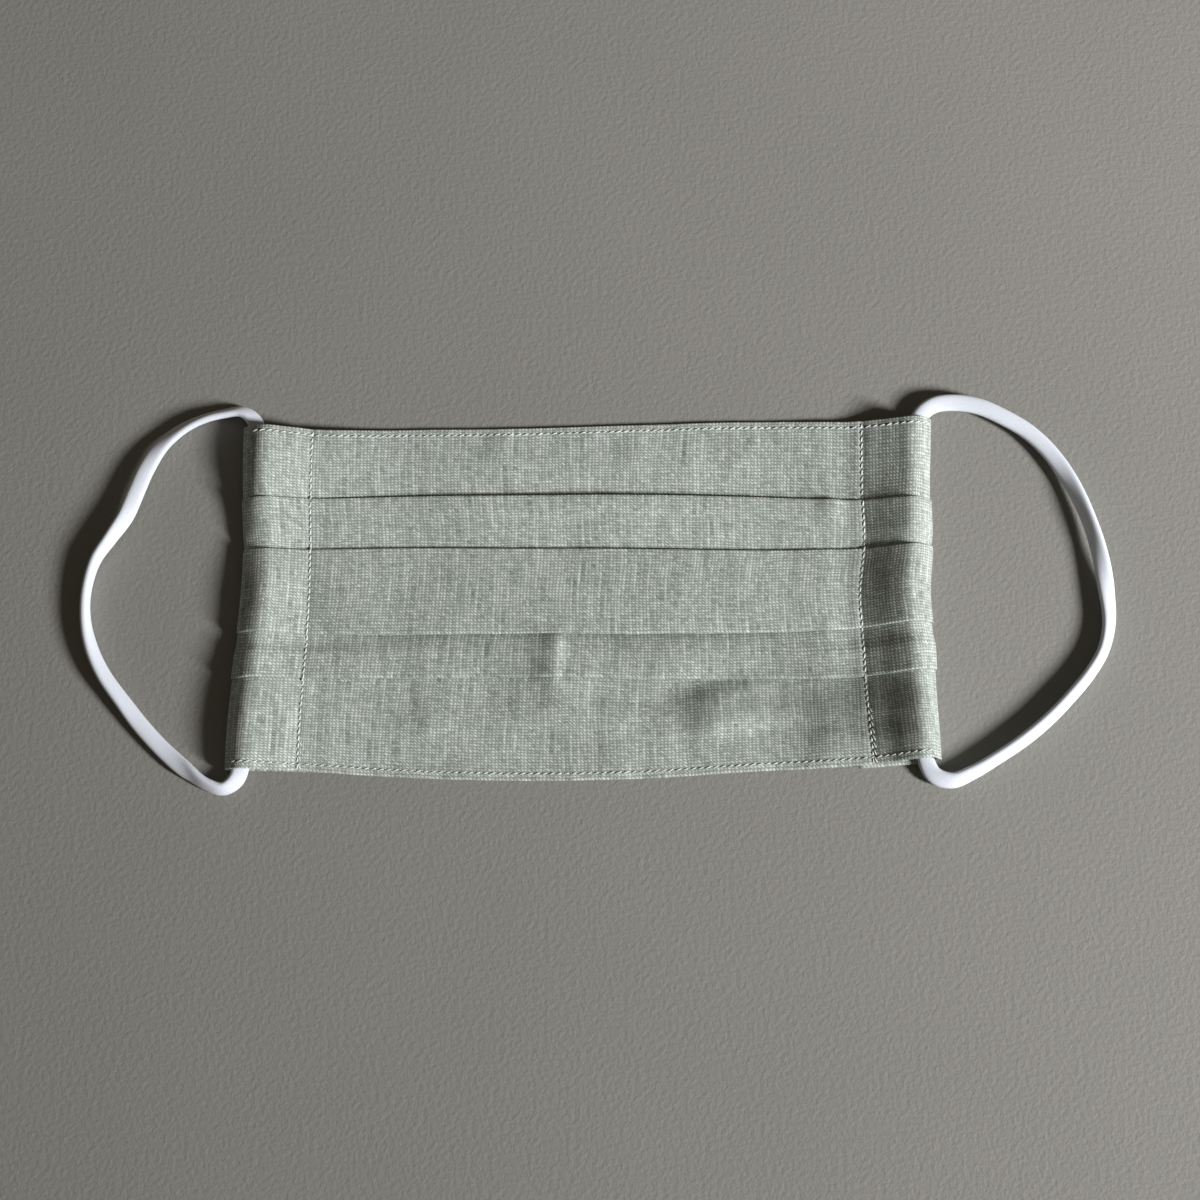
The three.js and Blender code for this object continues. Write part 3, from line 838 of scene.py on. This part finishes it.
def spline_through(points, spacing):
    """Evenly spaced points on a centripetal curve through the given ones."""
    points = np.array(points)
    padded = np.concatenate([[2 * points[0] - points[1]], points, [2 * points[-1] - points[-2]]])
    fine = []
    for p0, p1, p2, p3 in zip(padded, padded[1:], padded[2:], padded[3:]):
        t1 = np.linalg.norm(p1 - p0) ** 0.5
        t2 = t1 + np.linalg.norm(p2 - p1) ** 0.5
        t3 = t2 + np.linalg.norm(p3 - p2) ** 0.5
        for share in np.linspace(0, 1, 24, endpoint=False):
            t = t1 + (t2 - t1) * share
            a1 = (t1 - t) / t1 * p0 + t / t1 * p1
            a2 = (t2 - t) / (t2 - t1) * p1 + (t - t1) / (t2 - t1) * p2
            a3 = (t3 - t) / (t3 - t2) * p2 + (t - t2) / (t3 - t2) * p3
            b1 = (t2 - t) / t2 * a1 + t / t2 * a2
            b2 = (t3 - t) / (t3 - t1) * a2 + (t - t1) / (t3 - t1) * a3
            fine.append((t2 - t) / (t2 - t1) * b1 + (t - t1) / (t2 - t1) * b2)
    fine.append(points[-1])
    fine = np.array(fine)
    length = np.concatenate([[0], np.cumsum(np.linalg.norm(np.diff(fine, axis=0), axis=1))])
    even = np.linspace(0, length[-1], int(length[-1] / spacing) + 1)
    return np.stack([np.interp(even, length, fine[:, axis]) for axis in range(3)], axis=1), length[-1]


def oblong(values):
    """A rounded oblong's outline from an oval's: its ends are squared off a little."""
    return np.sign(values) * np.abs(values) ** 0.8


def make_elastic(name, route, lean, material):
    """A soft flat band along its route, turned about its middle as the table says."""
    path, length = spline_through(route, ELASTIC_STEP * MM)
    tangent = np.gradient(path, axis=0)
    tangent /= np.linalg.norm(tangent, axis=1, keepdims=True)
    side = np.cross([0.0, 0.0, 1.0], tangent)
    side /= np.linalg.norm(side, axis=1, keepdims=True)
    lift = np.cross(tangent, side)
    share = np.linspace(0, 1, len(path))
    turn = np.radians(smooth(lean, "share", "turn", share))[:, None]
    wide = np.cos(turn) * side + np.sin(turn) * lift
    thin = -np.sin(turn) * side + np.cos(turn) * lift

    corners = ELASTIC_CORNERS
    angle = np.linspace(0, 2 * math.pi, corners, endpoint=False)
    half_wide = ELASTIC_WIDTH / 2 * MM * oblong(np.cos(angle))
    half_thin = ELASTIC_THICKNESS / 2 * MM * oblong(np.sin(angle))
    rings = path[:, None] + half_wide[:, None] * wide[:, None] + half_thin[:, None] * thin[:, None]
    count = len(path)
    points = np.concatenate([rings.reshape(-1, 3), path[:1], path[-1:]])
    index = np.arange(count * corners).reshape(count, corners)
    after = np.roll(index, -1, axis=1)
    faces = np.stack([index[:-1], after[:-1], after[1:], index[1:]], axis=-1).reshape(-1, 4).tolist()
    first, last = count * corners, count * corners + 1
    faces += [[first, after[0, corner], index[0, corner]] for corner in range(corners)]
    faces += [[last, index[-1, corner], after[-1, corner]] for corner in range(corners)]

    girth = np.linspace(0, ELASTIC_WIDTH * 2.5, corners, endpoint=False)
    flat = np.stack(np.meshgrid(girth, share * length / MM), axis=-1)[..., ::-1].reshape(-1, 2)
    flat = np.concatenate([flat, flat[:1], flat[-1:]])
    mesh_faces = np.empty(len(faces), object)
    mesh_faces[:] = faces
    band = new_piece(name, points, mesh_faces, material, flat)
    return band, path, length


# Stitching, laid along guides on the cloth's own surface


def surface_guide(name, cloth_tree, line, below=False, raise_by=0.0):
    """Points dropped onto the cloth from above, or from below, with the way that the cloth faces there."""
    points, lifts = [], []
    for x, y in line:
        start = Vector((x, y, -5.0 if below else 25.0)) * MM
        hit, normal, _, _ = cloth_tree.ray_cast(start, Vector((0, 0, 1 if below else -1)))
        if hit is None:
            continue
        if normal.z * (1 if below else -1) > 0:
            normal = -normal
        points.append(hit)
        lifts.append(normal)
    points = np.array(points)
    lifts = np.array(lifts)
    blur = np.array([1, 2, 3, 2, 1]) / 9.0
    for axis in range(3):
        lifts[:, axis] = np.convolve(np.pad(lifts[:, axis], 2, mode="edge"), blur, mode="valid")
    lifts /= np.linalg.norm(lifts, axis=1, keepdims=True)
    points = points + raise_by * MM * lifts
    mesh = bpy.data.meshes.new(name)
    edges = [(place, place + 1) for place in range(len(points) - 1)]
    mesh.from_pydata(points.tolist(), edges, [])
    facing = mesh.attributes.new("lift", "FLOAT_VECTOR", "POINT")
    facing.data.foreach_set("vector", lifts.astype(np.float32).ravel())
    return in_scene(name, mesh)


def add_inputs(tree, inputs):
    """Named inputs of a node group, with their kinds and defaults."""
    tree.interface.new_socket("Geometry", in_out="INPUT", socket_type="NodeSocketGeometry")
    for name, kind, value in inputs:
        socket = tree.interface.new_socket(name, in_out="INPUT", socket_type=kind)
        if value is not None:
            socket.default_value = value
    tree.interface.new_socket("Geometry", in_out="OUTPUT", socket_type="NodeSocketGeometry")


def reckon(tree, operation, first, second):
    """One step of maths in a geometry tree."""
    return wire(tree, "ShaderNodeMath", {"operation": operation}, _0=first, _1=second).outputs[0]


def row_of_points(tree, given, start_share):
    """Evenly spaced points along the guide, one for each stitch or hole, and how each is turned."""
    line = wire(tree, "GeometryNodeMeshToCurve", Mesh=given.outputs["Geometry"]).outputs[0]
    if start_share:
        shift = reckon(tree, "MULTIPLY", given.outputs["Pitch"], start_share)
        whole = wire(tree, "GeometryNodeCurveLength", Curve=line).outputs[0]
        end = reckon(tree, "SUBTRACT", whole, shift)
        line = wire(tree, "GeometryNodeTrimCurve", {"mode": "LENGTH"}, Curve=line, _4=shift,
                    _5=end).outputs[0]
    spaced = wire(tree, "GeometryNodeResampleCurve", {"mode": "LENGTH"}, Curve=line,
                  Length=given.outputs["Pitch"])
    facing = wire(tree, "GeometryNodeInputNamedAttribute", {"data_type": "FLOAT_VECTOR"}, Name="lift")
    heading = wire(tree, "GeometryNodeInputTangent")
    turned = wire(tree, "FunctionNodeAxesToRotation", {"primary_axis": "Z", "secondary_axis": "X"},
                  _0=facing.outputs[0], _1=heading.outputs[0])
    return spaced.outputs[0], turned.outputs[0]


def stitch_tree():
    """Arched thread stitches along a guide, each slanted a little and slightly uneven."""
    tree = bpy.data.node_groups.new("stitch_row", "GeometryNodeTree")
    add_inputs(tree, [
        ("Pitch", "NodeSocketFloat", STITCH_PITCH * MM),
        ("Stitch Length", "NodeSocketFloat", STITCH_LENGTH * MM),
        ("Thread", "NodeSocketFloat", THREAD * MM),
        ("Arch", "NodeSocketFloat", FRONT_ARCH * MM),
        ("Slant", "NodeSocketFloat", 0.20),
        ("Unevenness", "NodeSocketFloat", 0.10),
        ("Seed", "NodeSocketInt", 3),
        ("Material", "NodeSocketMaterial", None),
    ])
    given = tree.nodes.new("NodeGroupInput")
    spots, turned = row_of_points(tree, given, 0.0)
    thread, slant, uneven = (given.outputs[name] for name in ("Thread", "Slant", "Unevenness"))
    half = reckon(tree, "MULTIPLY", given.outputs["Stitch Length"], 0.5)
    minus = reckon(tree, "MULTIPLY", half, -1.0)
    dip = reckon(tree, "MULTIPLY", thread, -0.7)
    peak = reckon(tree, "MULTIPLY", given.outputs["Arch"], 2.0)
    start = wire(tree, "ShaderNodeCombineXYZ", X=minus, Y=0.0, Z=dip).outputs[0]
    middle = wire(tree, "ShaderNodeCombineXYZ", X=0.0, Y=0.0, Z=peak).outputs[0]
    end = wire(tree, "ShaderNodeCombineXYZ", X=half, Y=0.0, Z=dip).outputs[0]
    arch = wire(tree, "GeometryNodeCurveQuadraticBezier", Resolution=7, Start=start, Middle=middle,
                End=end).outputs[0]
    radius = reckon(tree, "MULTIPLY", thread, 0.5)
    ring = wire(tree, "GeometryNodeCurvePrimitiveCircle", Resolution=7, Radius=radius).outputs[0]
    stitch = wire(tree, "GeometryNodeCurveToMesh", Curve=arch, Profile_Curve=ring, Fill_Caps=True).outputs[0]
    low = reckon(tree, "SUBTRACT", slant, uneven)
    high = reckon(tree, "ADD", slant, uneven)
    angle = wire(tree, "FunctionNodeRandomValue", {"data_type": "FLOAT"}, _2=low, _3=high,
                 Seed=given.outputs["Seed"]).outputs[1]
    lean = wire(tree, "ShaderNodeCombineXYZ", X=0.0, Y=0.0, Z=angle).outputs[0]
    lean = wire(tree, "FunctionNodeEulerToRotation", Euler=lean).outputs[0]
    rotation = wire(tree, "FunctionNodeRotateRotation", {"rotation_space": "LOCAL"}, _0=turned,
                    _1=lean).outputs[0]
    stretch = wire(tree, "FunctionNodeRandomValue", {"data_type": "FLOAT"}, _2=0.90, _3=1.08,
                   Seed=11).outputs[1]
    placed = wire(tree, "GeometryNodeInstanceOnPoints", Points=spots, Instance=stitch, Rotation=rotation,
                  Scale=stretch).outputs[0]
    finish_tree(tree, given, placed)
    return tree


def hole_shade_tree():
    """Dark discs of painted shade where the needle went through, halfway between the stitches."""
    tree = bpy.data.node_groups.new("needle_holes", "GeometryNodeTree")
    add_inputs(tree, [
        ("Pitch", "NodeSocketFloat", STITCH_PITCH * MM),
        ("Hole", "NodeSocketFloat", HEM_HOLE * MM),
        ("Depth", "NodeSocketFloat", HOLE_DEPTH * MM),
        ("Seed", "NodeSocketInt", 5),
        ("Material", "NodeSocketMaterial", None),
    ])
    given = tree.nodes.new("NodeGroupInput")
    spots, turned = row_of_points(tree, given, 0.5)
    dot = wire(tree, "GeometryNodeMeshUVSphere", Segments=8, Rings=4, Radius=0.5).outputs[0]
    size = wire(tree, "ShaderNodeCombineXYZ", X=given.outputs["Hole"], Y=given.outputs["Hole"],
                Z=given.outputs["Depth"]).outputs[0]
    dot = wire(tree, "GeometryNodeTransform", Geometry=dot, Scale=size).outputs[0]
    vary = wire(tree, "FunctionNodeRandomValue", {"data_type": "FLOAT"}, _2=0.65, _3=1.15,
                Seed=given.outputs["Seed"]).outputs[1]
    placed = wire(tree, "GeometryNodeInstanceOnPoints", Points=spots, Instance=dot, Rotation=turned,
                  Scale=vary).outputs[0]
    finish_tree(tree, given, placed)
    return tree


def finish_tree(tree, given, geometry):
    """Every tree ends in real geometry with its material."""
    real = wire(tree, "GeometryNodeRealizeInstances", Geometry=geometry).outputs[0]
    done = wire(tree, "GeometryNodeSetMaterial", Geometry=real,
                Material=given.outputs["Material"]).outputs[0]
    result = tree.nodes.new("NodeGroupOutput")
    tree.links.new(done, result.inputs[0])


def run_tree(guide, tree, name, **inputs):
    """The tree's result on a guide, as a plain mesh object of its own."""
    modifier = guide.modifiers.new(tree.name, "NODES")
    modifier.node_group = tree
    inlets = [item for item in tree.interface.items_tree if item.in_out == "INPUT"]
    identifiers = {item.name: item.identifier for item in inlets}
    for key, value in inputs.items():
        modifier[identifiers[key.replace("_", " ")]] = value
    graph = bpy.context.evaluated_depsgraph_get()
    mesh = bpy.data.meshes.new_from_object(guide.evaluated_get(graph), depsgraph=graph)
    guide.modifiers.remove(modifier)
    mesh.name = name
    mesh.polygons.foreach_set("use_smooth", np.ones(len(mesh.polygons), bool))
    return in_scene(name, mesh)


def hem_line(key):
    """A row of stitches inside the top or the bottom edge."""
    x = np.arange(*HEM_ENDS[key], GUIDE_STEP)
    inward = -HEM_STITCH_INSET if key == "top" else HEM_STITCH_INSET
    return list(zip(x, line_height(key, x) + inward))


def seam_line(side, low, high, offset=0.0):
    """The casing's seam, or a stretch beside it, from the chin edge towards the nose edge."""
    y = np.arange(low, high, GUIDE_STEP)
    return list(zip(side * (edge_distance(side, y) - casing_value(side, "seam", y) + offset), y))


def make_stitching(cloth, thread, hole_shade):
    """All rows of stitches, and dark discs of painted shade where the needle went through."""
    graph = bpy.context.evaluated_depsgraph_get()
    tree = BVHTree.FromObject(cloth, graph)
    stitches, hole_shades = stitch_tree(), hole_shade_tree()
    top, bottom = hem_line("top"), hem_line("bottom")
    left, right = seam_line(-1, *SEAM_ENDS[-1]), seam_line(1, *SEAM_ENDS[1])
    # Each row: its line, whether it lies on the back, its pitch and the slant of its stitches
    rows = {
        "top_hem_stitches": (top, False, STITCH_PITCH, 0.26),
        "bottom_hem_stitches": (bottom, False, STITCH_PITCH, 0.26),
        "left_seam_stitches": (left, False, SEAM_PITCH, -0.16),
        "right_seam_stitches": (right, False, SEAM_PITCH, -0.16),
        "left_backtack_stitches": (seam_line(-1, *BACKTACKS[-1]), False, SEAM_PITCH, 0.5),
        "right_backtack_stitches": (seam_line(1, *BACKTACKS[1]), False, SEAM_PITCH, 0.35),
        "back_top_hem_stitches": (top, True, STITCH_PITCH, 0.0),
        "back_bottom_hem_stitches": (bottom, True, STITCH_PITCH, 0.0),
        "back_left_seam_stitches": (left, True, SEAM_PITCH, 0.0),
        "back_right_seam_stitches": (right, True, SEAM_PITCH, 0.0),
    }
    made = []
    for name, (line, below, pitch, slant) in rows.items():
        guide = surface_guide(name + "_guide", tree, line, below, -BACK_SINK if below else 0.0)
        arch = BACK_ARCH if below else FRONT_ARCH
        gauge = SEAM_THREAD if "seam" in name else THREAD
        made.append(run_tree(guide, stitches, name, Pitch=pitch * MM, Thread=gauge * MM, Arch=arch * MM,
                             Slant=slant, Material=thread))
        # On the front rows, dark discs of painted shade where the needle went through
        if not below and "backtack" not in name:
            made.append(run_tree(guide, hole_shades, name.replace("stitches", "needle_holes"), Pitch=pitch * MM,
                                 Hole=(SEAM_HOLE if "seam" in name else HEM_HOLE) * MM, Material=hole_shade))
        bpy.data.objects.remove(guide)
    return made


# The table, the light and the sky
TABLE_HALF = 1.6
LIGHT_PLACE = Vector((1.411, -0.628, 0.822))
LIGHT_AIM = Vector((1.25, 1.50, 0.0))
LIGHT_SIZE = 0.50
LIGHT_POWER = 91.0
LIGHT_COLOUR = (1.0, 0.992, 0.985)
FILL_COLOUR = (1.0, 0.86, 0.66)
FILL_STRENGTH = 0.085


def make_table(material):
    corners = TABLE_HALF * np.array([(-1, -1, 0), (1, -1, 0), (1, 1, 0), (-1, 1, 0)])
    table = new_piece("table", corners, np.array([(0, 1, 2, 3)]), material)


def make_light():
    lamp = bpy.data.lights.new("window", "AREA")
    lamp.shape = "DISK"
    lamp.size = LIGHT_SIZE
    lamp.energy = LIGHT_POWER
    lamp.color = LIGHT_COLOUR
    window = in_scene("window", lamp)
    window.location = LIGHT_PLACE
    window.rotation_euler = (LIGHT_AIM - LIGHT_PLACE).to_track_quat("-Z", "Y").to_euler()
    world = bpy.data.worlds.new("room")
    world.use_nodes = True
    sky = world.node_tree.nodes["Background"]
    sky.inputs["Color"].default_value = (*FILL_COLOUR, 1.0)
    sky.inputs["Strength"].default_value = FILL_STRENGTH
    bpy.context.scene.world = world
    bpy.context.scene.view_settings.view_transform = "Standard"


make_camera()
elastic = elastic_material()
elastics = (
    ("left_elastic", "left_ear_loop", LEFT_ROUTE, LEFT_LEAN, LEFT_EXIT),
    ("right_elastic", "right_ear_loop", RIGHT_ROUTE, RIGHT_LEAN, RIGHT_EXIT),
)
cords = {name: make_elastic(name, route, lean, elastic) for name, _, route, lean, _ in elastics}

face_cloth, flat_size = make_face_cloth(linen_material())
stitching = make_stitching(face_cloth, thread_material(), needle_hole_shade_material())
make_table(table_material())
make_light()

for cord_name, node, _, _, exit_point in elastics:
    band, band_path, band_length = cords[cord_name]
    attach(band, "root")
    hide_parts(node)

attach(face_cloth, "root")
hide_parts("pleated_panel", "left_casing", "right_casing")
for row in stitching:
    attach(row, "root")
